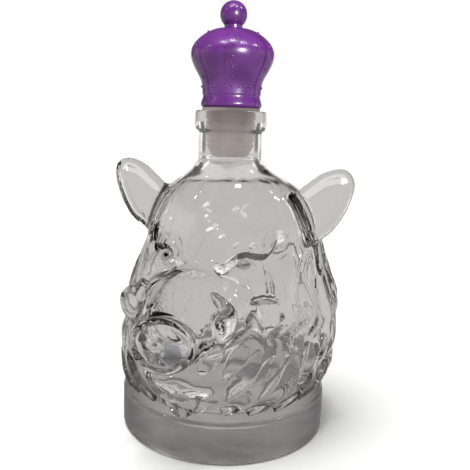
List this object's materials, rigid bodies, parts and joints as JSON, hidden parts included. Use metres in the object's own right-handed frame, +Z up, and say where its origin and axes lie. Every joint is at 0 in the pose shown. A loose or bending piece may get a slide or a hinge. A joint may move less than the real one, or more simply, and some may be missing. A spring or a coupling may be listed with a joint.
{
  "type": "figural liquor decanter",
  "caption": "Clear glass decanter shaped as a boar's head on a round foot, closed by a plastic crown stopper with a ribbed plug.",
  "frame": {"origin": "centre of the foot's flat standing ring, on the table", "axes": "+Z up along the neck and crown, -Y the way the boar's snout points, +X across the ears"},
  "size_m": [0.1102, 0.1148, 0.184],
  "materials": {
    "clear_glass": "clear, fire polished",
    "translucent_plug": "translucent, soft",
    "purple_plastic": "glossy moulded",
    "purple_insert": "satin moulded"
  },
  "bodies": {
    "bottle": {"glass_bottle": "clear_glass"},
    "plug": {"stopper_plug": "translucent_plug"},
    "crown": {"crown_shell": "purple_plastic", "crown_core": "purple_insert"}
  },
  "joints": [
    {"name": "stopper_lift", "type": "slide", "parent": "bottle", "child": "plug", "axis": [0, 0, 1], "range_m": [0, 0.045]},
    {"name": "crown_twist", "type": "hinge", "parent": "plug", "child": "crown", "pos_m": [0, 0, 0.14025], "axis": [0, 0, 1], "continuous": true}
  ]
}
